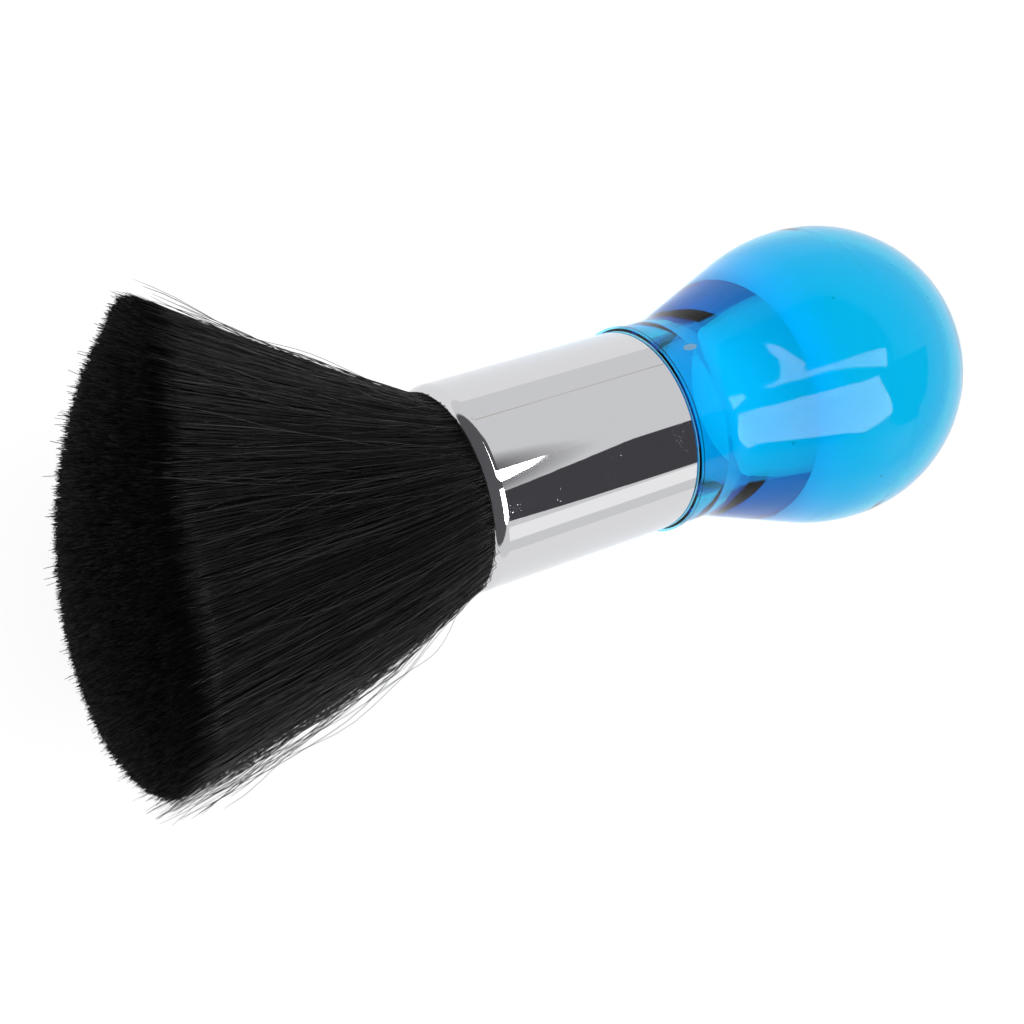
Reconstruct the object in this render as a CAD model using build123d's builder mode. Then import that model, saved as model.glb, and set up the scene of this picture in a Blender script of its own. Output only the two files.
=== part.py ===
from build123d import *
from math import asin, atan2, cos, hypot, radians, sin, sqrt
import os

# Neck duster brush, lying on its side on a flat surface, in millimetres.
# The brush axis runs along X, with the bristle tips towards -X and the handle bulb
# towards +X. The surface is Z = 0, and the origin is under the middle of the brush.
# Axial places below are counted from the joint between ferrule and handle collar,
# positive into the handle and negative into the ferrule.

# Handle: one hollow moulding, a bulb with a collar and a spigot
bulb_radius = 29.3
bulb_peak = 43.3  # from the joint to the widest section
shoulder_radius = 36.0  # arc that leads from the widest section towards the neck
neck_blend = 12.0  # hollow blend from the cone to the collar
foot_edge_radius = 15.8  # where the bulb meets the plane of the standing face
foot_round = 12.0
wall = 2.6  # round the bulb; the neck is thicker
collar_length = 9.5  # from the joint to the foot of the neck cone
collar_step = 0.3  # how far the collar stands out of the ferrule
flange_height = 0.4  # how far the flange stands out of the collar
flange_thickness = 0.7
spigot_length = 12.0
spigot_wall = 2.4
spigot_chamfer = 0.8
core_start = 8.0  # the bore runs straight up to here, counted from the joint
core_flare = 3.2  # how much wider its cone has become at the far end
core_run = 16.3  # from there to the widest section

# Ferrule: a thin metal sleeve with its front edge rolled inwards
ferrule_radius = 19.0
ferrule_length = 42.5
ferrule_wall = 0.5
lip_radius = 2.8
lip_turn = 60.0  # how far the sheet turns inwards, in degrees

# Root of the knot, hidden in the ferrule
adhesive_gap = 0.3  # radial, between the ferrule and the handle's spigot
resin_length = 11.0
thread_diameter = 1.0
thread_turns = 4
clearance = 0.05  # between hidden pieces that are pressed or cast together

# Bristle bundle in front of the ferrule, a flattened and uneven fan
bristle_length = 66.8
fan_left = 64.0  # reach towards +Y at the end of the untrimmed fan
fan_right = 35.0  # reach towards -Y there
fan_press = 3.7  # how far its underside would sink below the surface there
fan_overhang = 2.1  # how far the untrimmed fan runs past the tips
left_bend = 1.12  # above 1 the side curves outwards, below 1 it bulges at the root
right_bend = 0.8
thickness_bend = 0.9
fan_stations = (0.0, 0.15, 0.4, 0.7, 1.0)
dome_radius = 84.0  # the tips are cut to this dome
dome_offset = 11.8  # the dome's crown lies this far towards -Y from the axis
bundle_offset = 5.3  # middle of the trimmed fan, towards +Y from the axis

# Sizes that follow from the ones above
bulb_end_reach = sqrt(bulb_radius**2 - foot_edge_radius**2)
collar_radius = ferrule_radius + collar_step
neck_run = bulb_peak - collar_length
neck_rise = bulb_radius - shoulder_radius - collar_radius
neck_slope = asin(shoulder_radius / hypot(neck_run, neck_rise)) + atan2(neck_rise, neck_run)
neck_foot = (collar_length, collar_radius)
neck_top = (
    bulb_peak - shoulder_radius * sin(neck_slope),
    bulb_radius - shoulder_radius * (1 - cos(neck_slope)),
)
bulb_end = bulb_peak + bulb_end_reach
hollow_radius = bulb_radius - wall
hollow_end = bulb_end - wall
hollow_edge = sqrt(hollow_radius**2 - (hollow_end - bulb_peak) ** 2)
fan_thickness = bulb_radius + fan_press
overall_length = bulb_end + ferrule_length + bristle_length
bore_radius = ferrule_radius - ferrule_wall
spigot_radius = bore_radius - adhesive_gap
spigot_bore = spigot_radius - spigot_wall
core_end = (bulb_peak - core_run, spigot_bore + core_flare)
resin_start = -spigot_length - clearance
resin_end = resin_start - resin_length
root_radius = bore_radius - clearance
thread_pitch = 0.9 * thread_diameter
thread_length = thread_diameter + (thread_turns - 1) * thread_pitch
waist_radius = root_radius - thread_diameter - clearance
waist_end = resin_end - thread_length - 2 * clearance
lip_start = -ferrule_length + lip_radius * sin(radians(lip_turn))
lip_middle = (lip_start, ferrule_radius - lip_radius)
mouth_arc = lip_radius - ferrule_wall - clearance
mouth_radius = lip_middle[1] + mouth_arc * cos(radians(lip_turn))

joint_x = overall_length / 2 - bulb_end
tip_x = -overall_length / 2
axis_y = -bundle_offset
side_plane = Plane(origin=(joint_x, axis_y, bulb_radius), x_dir=(1, 0, 0), z_dir=(0, -1, 0))
brush_axis = Axis((joint_x, axis_y, bulb_radius), (1, 0, 0))

os.makedirs("parts", exist_ok=True)


# Handle
with BuildPart() as handle:
    with BuildSketch(side_plane) as body:
        with BuildLine():
            Polyline((bulb_end, 0), (0, 0), (0, collar_radius), neck_foot, neck_top)
            TangentArc((bulb_peak, bulb_radius), neck_top, tangent=(-1, 0))
            RadiusArc((bulb_peak, bulb_radius), (bulb_end, foot_edge_radius), bulb_radius)
            Line((bulb_end, foot_edge_radius), (bulb_end, 0))
        make_face()
        foot_edge = body.vertices().sort_by_distance((bulb_end, foot_edge_radius))[0]
        fillet(foot_edge, foot_round)
        neck_edge = body.vertices().sort_by_distance(neck_foot)[0]
        fillet(neck_edge, neck_blend)
    revolve(axis=brush_axis)
    with BuildSketch(side_plane) as neck:
        with BuildLine():
            Polyline(
                (0, 0),
                (-spigot_length, 0),
                (-spigot_length, spigot_radius),
                (0, spigot_radius),
                (0, collar_radius + flange_height),
                (flange_thickness, collar_radius + flange_height),
                (flange_thickness, 0),
                close=True,
            )
        make_face()
    revolve(axis=brush_axis)
    with BuildSketch(side_plane) as hollow:
        with BuildLine():
            Polyline(
                (hollow_end, 0),
                (-spigot_length, 0),
                (-spigot_length, spigot_bore),
                (core_start, spigot_bore),
                core_end,
            )
            TangentArc((bulb_peak, hollow_radius), core_end, tangent=(-1, 0))
            RadiusArc((bulb_peak, hollow_radius), (hollow_end, hollow_edge), hollow_radius)
            Line((hollow_end, hollow_edge), (hollow_end, 0))
        make_face()
        hollow_corner = hollow.vertices().sort_by_distance((hollow_end, hollow_edge))[0]
        fillet(hollow_corner, foot_round - wall)
    revolve(axis=brush_axis, mode=Mode.SUBTRACT)
    spigot_rim = handle.edges().filter_by(GeomType.CIRCLE).group_by(Axis.X)[0]
    chamfer(spigot_rim.sort_by(SortBy.RADIUS)[-1], spigot_chamfer)

handle.part.label = "handle"
export_step(handle.part, "parts/handle.step")


# Ferrule, a drawn tube whose front edge is rolled in over the knot
with BuildPart() as ferrule:
    with BuildSketch(side_plane) as sheet:
        with BuildLine():
            outer_roll = CenterArc(lip_middle, lip_radius, 90, lip_turn)
            inner_roll = CenterArc(lip_middle, lip_radius - ferrule_wall, 90, lip_turn)
            Line(outer_roll @ 1, inner_roll @ 1)
            Polyline(outer_roll @ 0, (0, ferrule_radius), (0, bore_radius), inner_roll @ 0)
        make_face()
    revolve(axis=brush_axis)
ferrule.part.label = "ferrule"
export_step(ferrule.part, "parts/ferrule.step")


def ring_section(start, end, inner, outer):
    """A rectangular section from start to end along the axis, between two radii."""
    with BuildSketch(side_plane) as section:
        with BuildLine():
            Polyline((start, inner), (end, inner), (end, outer), (start, outer), close=True)
        make_face()
    return section.sketch


# Adhesive film between the handle's spigot and the ferrule
film_inner = spigot_radius + clearance / 2
film_outer = bore_radius - clearance / 2
with BuildPart() as adhesive:
    revolve(ring_section(spigot_chamfer - spigot_length, 0, film_inner, film_outer), axis=brush_axis)
adhesive.part.label = "adhesive_film"
export_step(adhesive.part, "parts/adhesive_film.step")

# Resin plug that the filament roots are cast into
with BuildPart() as resin:
    revolve(ring_section(resin_end, resin_start, 0, root_radius), axis=brush_axis)
resin.part.label = "root_resin"
export_step(resin.part, "parts/root_resin.step")

# Thread wound round the roots in front of the resin
with BuildPart() as thread:
    with BuildSketch(side_plane) as turns:
        for turn in range(thread_turns):
            turn_x = resin_end - clearance - thread_diameter / 2 - turn * thread_pitch
            with Locations((turn_x, root_radius - thread_diameter / 2)):
                Circle(thread_diameter / 2)
    revolve(axis=brush_axis)
thread.part.label = "binding_thread"
export_step(thread.part, "parts/binding_thread.step")


def reach(tip_reach, share, bend):
    """Distance from the axis to one side of the fan, at a share of its length."""
    return mouth_radius + (tip_reach - mouth_radius) * share**bend


# Bristle bundle: a round root that fills the ferrule, then a flattened fan
fan_length = bristle_length + fan_overhang
mouth_x = joint_x - ferrule_length
with BuildPart() as bristles:
    with BuildSketch(side_plane) as root:
        with BuildLine():
            lip_fit = CenterArc(lip_middle, mouth_arc, 90, lip_turn)
            Polyline(
                lip_fit @ 0,
                (waist_end, root_radius),
                (waist_end, waist_radius),
                (resin_end, waist_radius),
                (resin_end, 0),
                (-ferrule_length, 0),
                (-ferrule_length, mouth_radius),
                lip_fit @ 1,
            )
        make_face()
    revolve(axis=brush_axis)
    for share in fan_stations:
        station = Plane(
            origin=(mouth_x - share * fan_length, axis_y, bulb_radius),
            x_dir=(0, 1, 0),
            z_dir=(1, 0, 0),
        )
        left = reach(fan_left, share, left_bend)
        right = reach(fan_right, share, right_bend)
        half_thickness = reach(fan_thickness, share, thickness_bend)
        with BuildSketch(station):
            with BuildLine():
                EllipticalCenterArc((0, 0), left, half_thickness, -90, arc_size=180)
                EllipticalCenterArc((0, 0), right, half_thickness, 90, arc_size=180)
            make_face()
    loft()
    with Locations((tip_x + dome_radius, axis_y - dome_offset, bulb_radius)):
        Sphere(dome_radius, mode=Mode.INTERSECT)
    split(bisect_by=Plane.XY, keep=Keep.TOP)
bristles.part.label = "bristle_bundle"
export_step(bristles.part, "parts/bristle_bundle.step")
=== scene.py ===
import math

import bpy
import numpy as np
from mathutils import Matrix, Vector
from mathutils.bvhtree import BVHTree


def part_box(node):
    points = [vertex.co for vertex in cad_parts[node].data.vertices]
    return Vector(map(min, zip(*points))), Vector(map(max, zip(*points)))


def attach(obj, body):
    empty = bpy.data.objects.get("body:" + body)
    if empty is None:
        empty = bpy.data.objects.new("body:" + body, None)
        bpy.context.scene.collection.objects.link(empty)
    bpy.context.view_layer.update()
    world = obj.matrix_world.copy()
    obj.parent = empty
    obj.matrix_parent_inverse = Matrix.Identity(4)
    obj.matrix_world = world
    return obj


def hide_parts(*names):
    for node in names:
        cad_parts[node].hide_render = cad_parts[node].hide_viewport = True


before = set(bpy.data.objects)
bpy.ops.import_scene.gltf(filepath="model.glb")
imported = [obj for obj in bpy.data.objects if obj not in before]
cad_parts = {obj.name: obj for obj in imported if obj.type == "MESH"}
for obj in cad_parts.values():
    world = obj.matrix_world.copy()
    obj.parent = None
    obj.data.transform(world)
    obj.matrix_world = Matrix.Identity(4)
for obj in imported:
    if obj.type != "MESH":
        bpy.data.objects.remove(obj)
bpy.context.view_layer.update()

# Neck duster brush, lying on its side. Everything is in metres, in the row's frame:
# the brush axis along X, bristle tips towards -X, the surface that it lies on at Z = 0.
MM = 0.001
chance = np.random.default_rng(7)

# ---------------------------------------------------------------- places in the frame
ferrule_low, ferrule_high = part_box("ferrule")
handle_low, handle_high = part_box("handle")
AXIS_Y = (ferrule_low.y + ferrule_high.y) / 2
AXIS_Z = (ferrule_low.z + ferrule_high.z) / 2
JOINT = Vector((ferrule_high.x, AXIS_Y, AXIS_Z))
MOUTH_X = ferrule_low.x
TIP_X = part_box("bristle_bundle")[0].x
GATE = Vector((6.3, 10.9, 16.0)) * MM  # where the moulding gate was cut off, from the joint
SEAM_ANGLE = math.radians(-32)  # the parting line, turned from the top towards +Y

# ---------------------------------------------------------------- camera and light
CAMERA_PLACE = Vector((-162.55, -7.19, 253.18)) * MM  # from the joint
CAMERA_TURN = (9.356, -26.09, -20.54)  # degrees
CAMERA_LENS = 56.45

# Cards hang over the brush; their corners are (x, y) in metres. The corners were found by following
# highlights back from the camera's place, so the cards only suit that view: from elsewhere they show
# on the ferrule as hard-edged shapes. Plain soft rectangles would be the better light for other uses.
CARD_HEIGHT = 0.8
DARK_CARD_HEIGHT = 0.81  # just above the bright ones, which hide it where they overlap
SOFTBOX = ((-0.03, -0.24), (0.27, -0.23), (0.52, -0.75), (0.18, -1.04), (-0.03, -0.87))
STRIP = ((0.004, -0.063), (0.37, -0.173), (0.414, -0.014), (0.03, 0.006))
SIDE_STRIP = ((0.004, -0.063), (0.031, 0.006), (0.037, 0.558))
EDGE_CARD = ((0.5, -1.36), (1.3, -1.36), (2.6, -3.4), (1.4, -3.4))
DARK_BAND = (
    (0.50, -0.13), (0.45, -0.22), (0.38, -0.36), (0.38, -0.50), (0.46, -0.76),
    (0.60, -1.0), (0.85, -1.2), (1.1, -1.26), (1.3, -1.2),
)
DARK_CORNER = (1.3, -0.11)
THIN_CARD = ((0.4, 1.41), (1.8, 1.41), (1.8, 1.47), (0.4, 1.47))
ROUND_STEPS = 8  # points between two corners of a rounded outline
FLOOR_SIDE = 3.0  # half its width
FLOOR_GLOW = 0.92
PLASTIC_TINT = 0.15  # reflection of the plastic, well below a real one's, which is 1

# ---------------------------------------------------------------- sizes of the bristles
CORE_INSET = 2.6 * MM  # depth of the dark core below the filament tips
CORE_ROOT = -0.03  # the core starts inside the ferrule
ROOT_SHARE = -0.02  # so do the filaments, a little less deep
FLANK_PIECES = 6
FLANK_COUNT = 1900  # filaments in each piece
FLANK_STEPS = 11  # points along each filament
FLANK_WAVE = 0.22 * MM
LOCKS = 210  # bunches of filaments round the fan
TIP_PIECES = 3
TIP_COUNT = 9600  # filaments in each piece
TIP_LENGTH = 7.0 * MM
LENGTH_NOISE = 0.42 * MM
RIM_START = 0.72  # the cut face rounds off outside this share of its radius
RIM_ROUND = 1.6 * MM
RIM_ROUND_RIGHT = 1.2 * MM  # and this much more on the side towards -Y
CROSSING_COUNT = 520  # hairs that lie across the skin
LOOSE_COUNT = 230  # hairs along the edge towards -Y
STRAY_STEPS = 16


# ---------------------------------------------------------------- camera and studio
def make_camera():
    """Looks down on the brush from the bristle side, as in a catalogue picture."""
    data = bpy.data.cameras.new("camera")
    data.sensor_width = 36.0
    data.lens = CAMERA_LENS
    camera = bpy.data.objects.new("camera", data)
    camera.location = JOINT + CAMERA_PLACE
    camera.rotation_euler = [math.radians(a) for a in CAMERA_TURN]
    bpy.context.scene.collection.objects.link(camera)
    bpy.context.scene.camera = camera


def make_card(name, outline, shade, strength=1.0, height=CARD_HEIGHT):
    """A flat glowing or dark card overhead, seen only by the light that the brush reflects."""
    mesh = bpy.data.meshes.new(name)
    mesh.from_pydata([(x, y, height) for x, y in outline], [], [tuple(range(len(outline)))])
    card = bpy.data.objects.new(name, mesh)
    bpy.context.scene.collection.objects.link(card)
    material = bpy.data.materials.new(name)
    material.use_nodes = True
    nodes = material.node_tree.nodes
    nodes.clear()
    glow = nodes.new("ShaderNodeEmission")
    glow.inputs["Color"].default_value = (*shade, 1)
    glow.inputs["Strength"].default_value = strength
    output = nodes.new("ShaderNodeOutputMaterial")
    material.node_tree.links.new(glow.outputs[0], output.inputs["Surface"])
    mesh.materials.append(material)
    card.visible_camera = False
    card.visible_diffuse = False
    card.visible_transmission = False
    card.visible_shadow = False


def rounded(points, steps):
    """The same open line with its corners rounded off."""
    ends = [points[0], *points, points[-1]]
    line = []
    for before, start, end, after in zip(ends, ends[1:], ends[2:], ends[3:]):
        for step in range(steps):
            t = step / steps
            weights = (
                (-t + 2 * t**2 - t**3) / 2,
                (2 - 5 * t**2 + 3 * t**3) / 2,
                (t + 4 * t**2 - 3 * t**3) / 2,
                (t**3 - t**2) / 2,
            )
            corners = (before, start, end, after)
            line.append(tuple(sum(w * c[k] for w, c in zip(weights, corners)) for k in (0, 1)))
    return line + [points[-1]]


def make_world():
    """A pale tent all round, with a dark opening where the picture is taken from."""
    scene = bpy.context.scene
    world = bpy.data.worlds.new("studio")
    scene.world = world
    world.use_nodes = True
    nodes, links = world.node_tree.nodes, world.node_tree.links
    opening = (scene.camera.location - (handle_low + handle_high) / 2).normalized()
    direction = nodes.new("ShaderNodeTexCoord")
    nearness = nodes.new("ShaderNodeVectorMath")
    nearness.operation = "DOT_PRODUCT"
    nearness.inputs[1].default_value = opening
    ramp = nodes.new("ShaderNodeValToRGB")
    ramp.color_ramp.elements[0].position = 0.37
    ramp.color_ramp.elements[0].color = (0.90, 0.905, 0.92, 1)
    ramp.color_ramp.elements[1].position = 0.43
    ramp.color_ramp.elements[1].color = (0.13, 0.13, 0.14, 1)
    path = nodes.new("ShaderNodeLightPath")
    mix = nodes.new("ShaderNodeMix")
    mix.data_type = "RGBA"
    mix.inputs["B"].default_value = (1, 1, 1, 1)
    links.new(direction.outputs["Generated"], nearness.inputs[0])
    links.new(nearness.outputs["Value"], ramp.inputs["Fac"])
    links.new(path.outputs["Is Camera Ray"], mix.inputs["Factor"])
    links.new(ramp.outputs["Color"], mix.inputs["A"])
    links.new(mix.outputs["Result"], nodes["Background"].inputs["Color"])


def make_studio():
    """Colour and bounce settings, and the cards that the brush reflects."""
    scene = bpy.context.scene
    scene.view_settings.view_transform = "Standard"
    scene.cycles.max_bounces = 24
    scene.cycles.transmission_bounces = 20
    scene.cycles.glossy_bounces = 8
    scene.cycles.transparent_max_bounces = 24
    white = (1, 1, 1)
    make_card("softbox", SOFTBOX, white, 18.0)
    make_card("strip", STRIP, white, 15.0)
    make_card("side_strip", SIDE_STRIP, white, 17.0)
    make_card("edge_card", EDGE_CARD, white, 1.25)
    dark_outline = rounded(DARK_BAND, ROUND_STEPS) + [DARK_CORNER]
    make_card("dark_card", dark_outline, (0.075, 0.075, 0.085), height=DARK_CARD_HEIGHT)
    make_card("thin_card", THIN_CARD, (0.62, 0.58, 0.5))


def new_material(name):
    """A node material with a Principled shader; returns (material, shader, add, link)."""
    material = bpy.data.materials.new(name)
    material.use_nodes = True
    tree = material.node_tree
    shader = tree.nodes["Principled BSDF"]

    def add(kind, **settings):
        node = tree.nodes.new(kind)
        for key, value in settings.items():
            if key in node.inputs:
                node.inputs[key].default_value = value
            else:
                setattr(node, key, value)
        return node

    return material, shader, add, tree.links.new


def make_floor():
    """A pale table top that glows a little, as on a light table, so its shadows stay faint."""
    mesh = bpy.data.meshes.new("floor")
    corners = [(x * FLOOR_SIDE, y * FLOOR_SIDE, 0) for x, y in ((-1, -1), (1, -1), (1, 1), (-1, 1))]
    mesh.from_pydata(corners, [], [(0, 1, 2, 3)])
    floor = bpy.data.objects.new("floor", mesh)
    bpy.context.scene.collection.objects.link(floor)
    material, shader, *_ = new_material("floor")
    shader.inputs["Base Color"].default_value = (0.4, 0.4, 0.4, 1)
    shader.inputs["Roughness"].default_value = 0.9
    shader.inputs["Specular IOR Level"].default_value = 0.0
    shader.inputs["Emission Color"].default_value = (1, 1, 1, 1)
    shader.inputs["Emission Strength"].default_value = FLOOR_GLOW
    mesh.materials.append(material)


# ---------------------------------------------------------------- materials
def blue_plastic():
    """Clear blue moulding: the colour comes from the depth of plastic that light passes."""
    material, shader, add, link = new_material("blue_plastic")
    shader.inputs["Transmission Weight"].default_value = 1.0
    shader.inputs["IOR"].default_value = 1.48
    shader.inputs["Specular Tint"].default_value = (PLASTIC_TINT, PLASTIC_TINT, PLASTIC_TINT, 1)
    place = add("ShaderNodeTexCoord")
    speck = add("ShaderNodeTexVoronoi", Scale=105.0)
    tint = add("ShaderNodeValToRGB")
    tint.color_ramp.elements[0].position = 0.018
    tint.color_ramp.elements[0].color = (0.05, 0.2, 0.35, 1)
    tint.color_ramp.elements[1].position = 0.03
    tint.color_ramp.elements[1].color = (0.6, 0.82, 0.96, 1)
    link(place.outputs["Object"], speck.inputs["Vector"])
    link(speck.outputs["Distance"], tint.inputs["Fac"])
    link(tint.outputs["Color"], shader.inputs["Base Color"])
    absorb = add("ShaderNodeVolumeAbsorption", Density=950.0)
    absorb.inputs["Color"].default_value = (0.0, 0.926, 0.966, 1)
    clear = add("ShaderNodeBsdfTransparent")
    clear.inputs["Color"].default_value = (0.8, 0.94, 1.0, 1)
    path = add("ShaderNodeLightPath")
    mix = add("ShaderNodeMixShader")
    output = material.node_tree.nodes["Material Output"]
    link(path.outputs["Is Shadow Ray"], mix.inputs["Fac"])
    link(shader.outputs["BSDF"], mix.inputs[1])
    link(clear.outputs["BSDF"], mix.inputs[2])
    link(mix.outputs["Shader"], output.inputs["Surface"])
    link(absorb.outputs["Volume"], output.inputs["Volume"])
    gate = add("ShaderNodeMapping")
    gate.vector_type = "TEXTURE"
    gate.inputs["Location"].default_value = JOINT + GATE
    gate.inputs["Scale"].default_value = (1.6 * MM, 0.8 * MM, 0.9 * MM)
    gate_reach = add("ShaderNodeVectorMath", operation="LENGTH")
    for socket, inside, outside in (("Transmission Weight", 0.35, 1.0), ("Roughness", 0.6, 0.012)):
        mask = add("ShaderNodeMapRange")
        mask.inputs["From Min"].default_value = 0.8
        mask.inputs["From Max"].default_value = 1.0
        mask.inputs["To Min"].default_value = inside
        mask.inputs["To Max"].default_value = outside
        link(gate_reach.outputs["Value"], mask.inputs["Value"])
        link(mask.outputs["Result"], shader.inputs[socket])
    link(place.outputs["Object"], gate.inputs["Vector"])
    link(gate.outputs["Vector"], gate_reach.inputs[0])
    seam = add("ShaderNodeMapping")
    seam.vector_type = "TEXTURE"
    seam.inputs["Location"].default_value = JOINT
    seam.inputs["Rotation"].default_value = (SEAM_ANGLE, 0, 0)
    seam_side = add("ShaderNodeSeparateXYZ")
    seam_gap = add("ShaderNodeMath", operation="ABSOLUTE")
    seam_rise = add("ShaderNodeMapRange")
    seam_rise.inputs["From Max"].default_value = 0.12 * MM
    seam_rise.inputs["To Min"].default_value = 0.5
    seam_rise.inputs["To Max"].default_value = 0.0
    link(place.outputs["Object"], seam.inputs["Vector"])
    link(seam.outputs["Vector"], seam_side.inputs[0])
    link(seam_side.outputs["Y"], seam_gap.inputs[0])
    link(seam_gap.outputs["Value"], seam_rise.inputs["Value"])
    ripple = add("ShaderNodeTexNoise", Scale=140.0, Detail=3.0)
    height = add("ShaderNodeMath", operation="ADD")
    bump = add("ShaderNodeBump", Strength=0.05, Distance=0.0004)
    link(place.outputs["Object"], ripple.inputs["Vector"])
    link(ripple.outputs["Fac"], height.inputs[0])
    link(seam_rise.outputs["Result"], height.inputs[1])
    link(height.outputs["Value"], bump.inputs["Height"])
    link(bump.outputs["Normal"], shader.inputs["Normal"])
    return material


def bright_plating():
    """Chrome with fine drawing lines along the tube, dust specks and a few dull spots."""
    material, shader, add, link = new_material("bright_plating")
    shader.inputs["Base Color"].default_value = (0.62, 0.62, 0.63, 1)
    shader.inputs["Metallic"].default_value = 1.0
    place = add("ShaderNodeTexCoord")
    stretch = add("ShaderNodeMapping")
    stretch.inputs["Scale"].default_value = (25, 2600, 2600)
    lines = add("ShaderNodeTexNoise", Scale=1.0, Detail=2.0)
    line_bump = add("ShaderNodeBump", Strength=0.05, Distance=0.00002)
    dust = add("ShaderNodeTexVoronoi", Scale=2100.0)
    dust_rise = add("ShaderNodeMapRange")
    dust_rise.inputs["From Min"].default_value = 0.10
    dust_rise.inputs["From Max"].default_value = 0.16
    dust_rise.inputs["To Min"].default_value = 1.0
    dust_rise.inputs["To Max"].default_value = 0.0
    patches = add("ShaderNodeTexNoise", Scale=160.0, Detail=1.0)
    patch_edge = add("ShaderNodeMapRange")
    patch_edge.inputs["From Min"].default_value = 0.55
    patch_edge.inputs["From Max"].default_value = 0.75
    both = add("ShaderNodeMath", operation="MULTIPLY")
    haze = add("ShaderNodeMapRange")
    haze.inputs["To Min"].default_value = 0.025
    haze.inputs["To Max"].default_value = 0.4
    link(place.outputs["Object"], stretch.inputs["Vector"])
    link(stretch.outputs["Vector"], lines.inputs["Vector"])
    link(lines.outputs["Fac"], line_bump.inputs["Height"])
    link(line_bump.outputs["Normal"], shader.inputs["Normal"])
    link(place.outputs["Object"], dust.inputs["Vector"])
    link(place.outputs["Object"], patches.inputs["Vector"])
    link(dust.outputs["Distance"], dust_rise.inputs["Value"])
    link(patches.outputs["Fac"], patch_edge.inputs["Value"])
    link(dust_rise.outputs["Result"], both.inputs[0])
    link(patch_edge.outputs["Result"], both.inputs[1])
    link(both.outputs["Value"], haze.inputs["Value"])
    link(haze.outputs["Result"], shader.inputs["Roughness"])
    return material


def black_filament(name, shade, gloss):
    """Black dyed filament, a little uneven in depth of colour."""
    material, shader, add, link = new_material(name)
    place = add("ShaderNodeTexCoord")
    blotch = add("ShaderNodeTexNoise", Scale=350.0, Detail=2.0)
    dye = add("ShaderNodeValToRGB")
    dye.color_ramp.elements[0].position = 0.35
    dye.color_ramp.elements[0].color = (shade * 0.6, shade * 0.6, shade * 0.62, 1)
    dye.color_ramp.elements[1].position = 0.7
    dye.color_ramp.elements[1].color = (shade * 1.6, shade * 1.6, shade * 1.65, 1)
    link(place.outputs["Object"], blotch.inputs["Vector"])
    link(blotch.outputs["Fac"], dye.inputs["Fac"])
    link(dye.outputs["Color"], shader.inputs["Base Color"])
    shader.inputs["Roughness"].default_value = 0.4
    shader.inputs["Specular IOR Level"].default_value = gloss
    return material


def plain(name, colour, roughness):
    """A plain matt or glossy substance with a slight grain in its colour."""
    material, shader, add, link = new_material(name)
    grain = add("ShaderNodeTexNoise", Scale=600.0)
    ramp = add("ShaderNodeValToRGB")
    ramp.color_ramp.elements[0].color = (*[c * 0.8 for c in colour], 1)
    ramp.color_ramp.elements[1].color = (*[min(1, c * 1.2) for c in colour], 1)
    place = add("ShaderNodeTexCoord")
    link(place.outputs["Object"], grain.inputs["Vector"])
    link(grain.outputs["Fac"], ramp.inputs["Fac"])
    link(ramp.outputs["Color"], shader.inputs["Base Color"])
    shader.inputs["Roughness"].default_value = roughness
    return material


def dress(node, material):
    """Gives a carried-over CAD piece its material."""
    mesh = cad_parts[node].data
    mesh.materials.clear()
    mesh.materials.append(material)


# ---------------------------------------------------------------- bristles
class Fan:
    """Shape of the bristle fan, measured on the CAD bundle by rays."""

    def __init__(self):
        graph = bpy.context.evaluated_depsgraph_get()
        self.tree = BVHTree.FromObject(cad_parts["bristle_bundle"], graph)
        self.length = MOUTH_X - TIP_X
        self.mouth = self.reach(0.004, (0, 1, 0))
        self.left = self.side((0, 1, 0))
        self.right = self.side((0, -1, 0))
        self.thick = self.side((0, 0, 1))
        corners = np.array([v.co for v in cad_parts["bristle_bundle"].data.vertices])
        self.crown_y = corners[corners[:, 0].argmin()][1]
        probe = 25 * MM
        start = Vector((TIP_X - 0.05, self.crown_y + probe, AXIS_Z))
        sag = self.tree.ray_cast(start, Vector((1, 0, 0)))[0].x - TIP_X
        self.dome = (probe**2 + sag**2) / (2 * sag)

    def reach(self, share, direction):
        """Distance from the axis to the bundle's skin, at a share of its length."""
        start = Vector((MOUTH_X - share * self.length, AXIS_Y, AXIS_Z))
        return self.tree.ray_cast(start, Vector(direction))[3]

    def side(self, direction):
        """Growth of one side as (reach at the end, power of the share)."""
        near = self.reach(0.25, direction) - self.mouth
        far = self.reach(0.5, direction) - self.mouth
        power = math.log2(far / near)
        return self.mouth + far * 2**power, power

    def across(self, share, angle, depth):
        """Place across the axis of a filament that leaves the mouth at an angle and depth."""
        def grow(law):
            return self.mouth + (law[0] - self.mouth) * np.maximum(share, 0) ** law[1]

        wide = np.where(np.cos(angle) > 0, grow(self.left), grow(self.right))
        return depth * wide * np.cos(angle), depth * grow(self.thick) * np.sin(angle)

    def trim(self, angle, depth):
        """Share of the fan's length at which the cut dome ends each filament."""
        share = np.ones_like(angle)
        for _ in range(8):
            y, z = self.across(share, angle, depth)
            off = np.minimum((y + AXIS_Y - self.crown_y) ** 2 + z**2, (0.95 * self.dome) ** 2)
            sag = self.dome - np.sqrt(self.dome**2 - off)
            share = 1 - sag / self.length
        return share


def smooth_noise(count, steps, size):
    """One gentle random wave for each filament, zero at its root."""
    along = np.linspace(0, 1, steps)
    wave = np.zeros((count, steps))
    for cycles, weight in ((0.6, 1.0), (1.3, 0.5), (2.7, 0.22)):
        start = chance.uniform(0, 2 * math.pi, (count, 1))
        swing = chance.normal(0, weight, (count, 1))
        wave += swing * (np.sin(2 * math.pi * cycles * along + start) - np.sin(start))
    return size * wave * np.minimum(1, along * 3)


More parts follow.
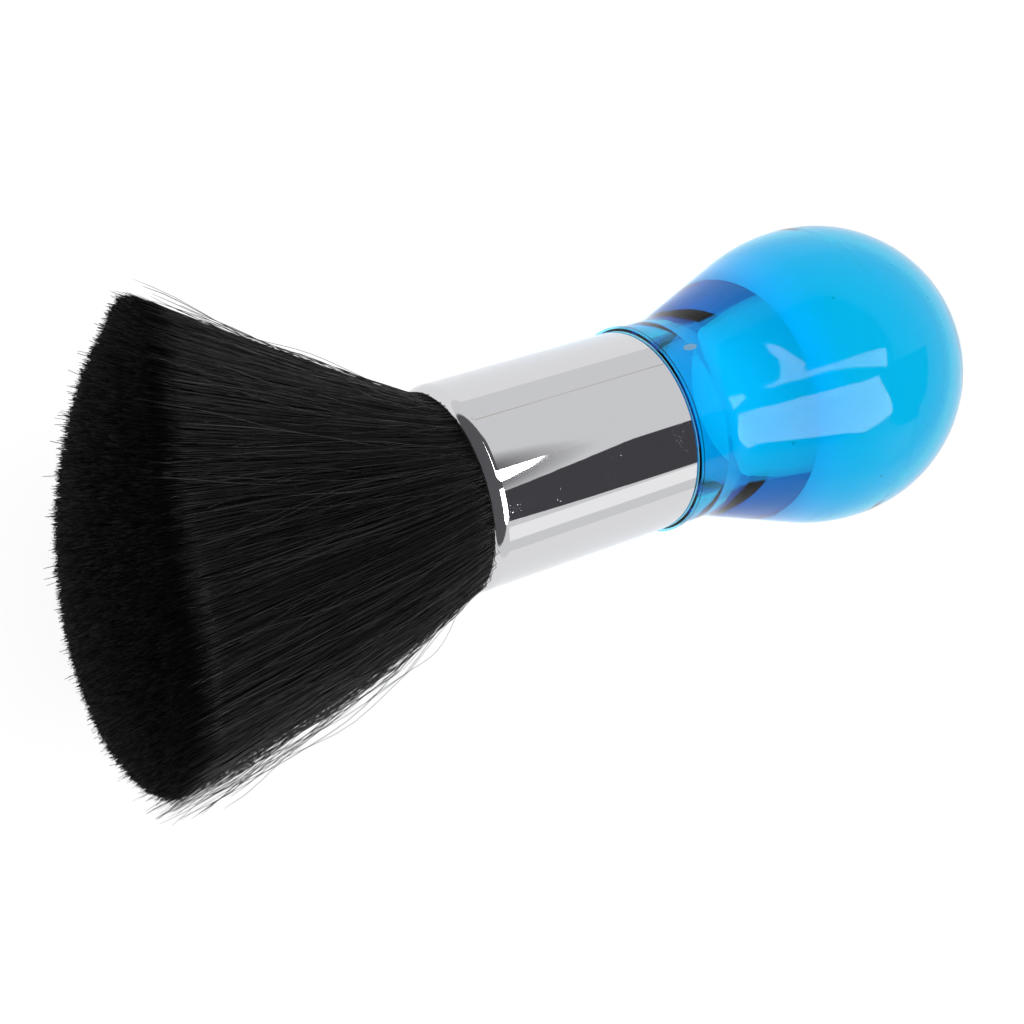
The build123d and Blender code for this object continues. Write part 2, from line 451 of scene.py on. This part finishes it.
def make_tubes(name, paths, radius, sides=3, taper=0.5):
    """One mesh of thin closed tubes that follow paths, an array (tube, step, 3)."""
    count, steps, _ = paths.shape
    ahead = np.gradient(paths, axis=1)
    ahead /= np.linalg.norm(ahead, axis=2, keepdims=True)
    across = np.cross(ahead, np.array([0.0, 0.37, 0.93]))
    across /= np.linalg.norm(across, axis=2, keepdims=True)
    above = np.cross(ahead, across)
    turn = chance.uniform(0, 2 * math.pi, (count, 1, 1, 1))
    around = turn + np.arange(sides).reshape(1, 1, sides, 1) * 2 * math.pi / sides
    thin = np.ones(steps)
    thin[-1] = taper
    width = radius.reshape(count, 1, 1, 1) * thin.reshape(1, steps, 1, 1)
    ring = paths[:, :, None] + width * (
        np.cos(around) * across[:, :, None] + np.sin(around) * above[:, :, None]
    )
    points = ring.reshape(-1, 3)
    first = (np.arange(count) * steps * sides).reshape(count, 1, 1)
    step = (np.arange(steps - 1) * sides).reshape(1, steps - 1, 1)
    side = np.arange(sides)
    after = (side + 1) % sides
    low = first + step + side
    next_low = first + step + after
    quads = np.stack([low, next_low, next_low + sides, low + sides], axis=-1).reshape(-1, 4)
    root_cap = first[:, 0] + side[::-1]
    tip_cap = first[:, 0] + (steps - 1) * sides + side
    caps = np.concatenate([root_cap, tip_cap])
    mesh = bpy.data.meshes.new(name)
    mesh.vertices.add(len(points))
    mesh.vertices.foreach_set("co", points.astype(np.float32).ravel())
    mesh.loops.add(quads.size + caps.size)
    mesh.loops.foreach_set("vertex_index", np.concatenate([quads.ravel(), caps.ravel()]).astype(np.int32))
    mesh.polygons.add(len(quads) + len(caps))
    starts = np.concatenate([np.arange(len(quads)) * 4, quads.size + np.arange(len(caps)) * sides])
    mesh.polygons.foreach_set("loop_start", starts.astype(np.int32))
    mesh.update(calc_edges=True)
    mesh.validate()
    piece = bpy.data.objects.new(name, mesh)
    bpy.context.scene.collection.objects.link(piece)
    return piece


def settle(paths, radius):
    """Keeps filaments above the surface: what would sink in is squeezed up against it."""
    low = radius.reshape(-1, 1)
    z = paths[:, :, 2]
    slack = 0.6 * MM
    paths[:, :, 2] = np.where(z < low + slack, low + slack * np.exp((z - low - slack) / (6 * MM)), z)
    return paths


def grow_filaments(fan, angle, depth, from_share, steps, wave, extra, drift=0.0):
    """Paths of filaments from a share of the fan's length to their trimmed tips."""
    count = len(angle)
    end = fan.trim(angle, np.minimum(depth, 1)) + extra / fan.length
    share = np.linspace(np.broadcast_to(from_share, count), end, steps, axis=1)
    turned = angle[:, None] + drift * share
    y, z = fan.across(share, turned, depth[:, None])
    y = y + smooth_noise(count, steps, wave)
    z = z + smooth_noise(count, steps, wave)
    return np.stack([MOUTH_X - share * fan.length, AXIS_Y + y, AXIS_Z + z], axis=-1)


def make_core(fan, material):
    """Dark closed body inside the fan, so that no light shows through the filaments."""
    angles = np.linspace(0, 2 * math.pi, 97)[:-1]
    side_depth = 0.94
    end = fan.trim(angles, side_depth) - CORE_INSET / fan.length
    rings = []
    for part in np.linspace(0, 1, 26):
        rings.append((CORE_ROOT + (end - CORE_ROOT) * part, side_depth))
    for depth in (0.88, 0.7, 0.5, 0.3, 0.12):
        rings.append((fan.trim(angles, depth) - CORE_INSET / fan.length, depth))
    points = []
    for share, depth in rings:
        y, z = fan.across(share, angles, depth)
        ring = np.stack([MOUTH_X - share * fan.length, AXIS_Y + y, AXIS_Z + z], axis=-1)
        ring[:, 2] = np.maximum(ring[:, 2], 0.8 * MM)
        points.append(ring)
    points = np.concatenate(points)
    count = len(angles)
    faces = []
    for ring in range(len(rings) - 1):
        for i in range(count):
            j = (i + 1) % count
            faces.append((ring * count + i, (ring + 1) * count + i, (ring + 1) * count + j, ring * count + j))
    last = (len(rings) - 1) * count
    faces.append(tuple(range(count)))
    faces.append(tuple(range(last + count - 1, last - 1, -1)))
    mesh = bpy.data.meshes.new("bristle_core")
    mesh.from_pydata(points.tolist(), [], faces)
    mesh.polygons.foreach_set("use_smooth", [True] * len(mesh.polygons))
    core = bpy.data.objects.new("bristle_core", mesh)
    bpy.context.scene.collection.objects.link(core)
    wear(core, material)
    return core


def wear(piece, material):
    """Gives a new piece its material and its body, and hides the CAD bristle bundle that it replaces."""
    piece.data.materials.append(material)
    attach(piece, "root")
    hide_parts("bristle_bundle")


def rounding(angle, depth):
    """How much shorter the filaments near the rim of the cut face are."""
    rim = np.clip((depth - RIM_START) / (1 - RIM_START), 0, 1) ** 2
    to_right = np.clip(-np.cos(angle), 0, 1) ** 2
    return -rim * (RIM_ROUND + RIM_ROUND_RIGHT * to_right)


def make_flanks(fan, material):
    """Long filaments that form the skin of the fan, drawn together in locks."""
    for part in range(FLANK_PIECES):
        low = 2 * math.pi * part / FLANK_PIECES
        angle = chance.uniform(low, low + 2 * math.pi / FLANK_PIECES, FLANK_COUNT)
        depth = 1 - 0.11 * chance.random(FLANK_COUNT) ** 1.3
        bunch = np.floor(angle * LOCKS / (2 * math.pi))
        lock = (bunch + chance.uniform(0.2, 0.8, FLANK_COUNT)) * 2 * math.pi / LOCKS
        drift = 0.75 * (lock - angle) + chance.normal(0, 0.012, FLANK_COUNT)
        extra = rounding(angle, depth) + chance.normal(0, LENGTH_NOISE, FLANK_COUNT)
        paths = grow_filaments(
            fan, angle, depth, ROOT_SHARE, FLANK_STEPS, FLANK_WAVE, extra, drift[:, None]
        )
        radius = chance.uniform(0.06, 0.095, FLANK_COUNT) * MM
        wear(make_tubes(f"bristle_flank_{part + 1}", settle(paths, radius), radius), material)


def make_tips(fan, material):
    """Short ends of the inner filaments, which make the stippled cut face."""
    for part in range(TIP_PIECES):
        angle = chance.uniform(0, 2 * math.pi, TIP_COUNT)
        depth = 0.99 * np.sqrt(chance.random(TIP_COUNT))
        extra = rounding(angle, depth) + chance.normal(0, LENGTH_NOISE, TIP_COUNT)
        longer = chance.random(TIP_COUNT) < 0.004
        extra += longer * chance.uniform(0.8, 2.6, TIP_COUNT) * MM
        end = fan.trim(angle, depth) + extra / fan.length
        paths = grow_filaments(
            fan, angle, depth, end - TIP_LENGTH / fan.length, 3, 0.25 * MM, extra
        )
        radius = chance.uniform(0.07, 0.105, TIP_COUNT) * MM
        wear(make_tubes(f"bristle_tips_{part + 1}", settle(paths, radius), radius), material)


def make_strays(fan, material):
    """Hairs that lie across the skin, and loose ones along the fan's right-hand edge."""
    angle = chance.uniform(0, 2 * math.pi, CROSSING_COUNT)
    depth = chance.uniform(0.995, 1.02, CROSSING_COUNT)
    extra = -chance.gamma(1.5, 5.0, CROSSING_COUNT) * MM
    drift = chance.normal(0, 0.22, CROSSING_COUNT)
    lying = grow_filaments(fan, angle, depth, ROOT_SHARE, STRAY_STEPS, 0.7 * MM, extra, drift[:, None])
    edge = math.pi + chance.normal(0.1, 0.35, LOOSE_COUNT)
    depth = chance.uniform(0.98, 1.05, LOOSE_COUNT)
    extra = (1.5 - chance.gamma(1.5, 7.0, LOOSE_COUNT)) * MM
    loose = grow_filaments(fan, edge, depth, ROOT_SHARE, STRAY_STEPS, 1.3 * MM, extra)
    paths = np.concatenate([lying, loose])
    radius = chance.uniform(0.045, 0.07, len(paths)) * MM
    wear(make_tubes("bristle_strays", settle(paths, radius), radius), material)


make_camera()
make_world()
make_studio()
make_floor()
dress("handle", blue_plastic())
dress("ferrule", bright_plating())
dress("adhesive_film", plain("cured_adhesive", (0.7, 0.66, 0.52), 0.3))
dress("root_resin", plain("cast_resin", (0.02, 0.02, 0.022), 0.35))
dress("binding_thread", plain("binding_thread", (0.05, 0.05, 0.05), 0.8))
fibre = black_filament("black_filament", 0.0035, 0.15)
fan = Fan()
make_core(fan, fibre)
make_flanks(fan, fibre)
make_tips(fan, fibre)
# The loose hairs are the same black filament drawn about three times lighter, which is a painted sheen; their
# higher gloss is real reflection.
make_strays(fan, black_filament("loose_filament_painted_sheen", 0.01, 0.3))
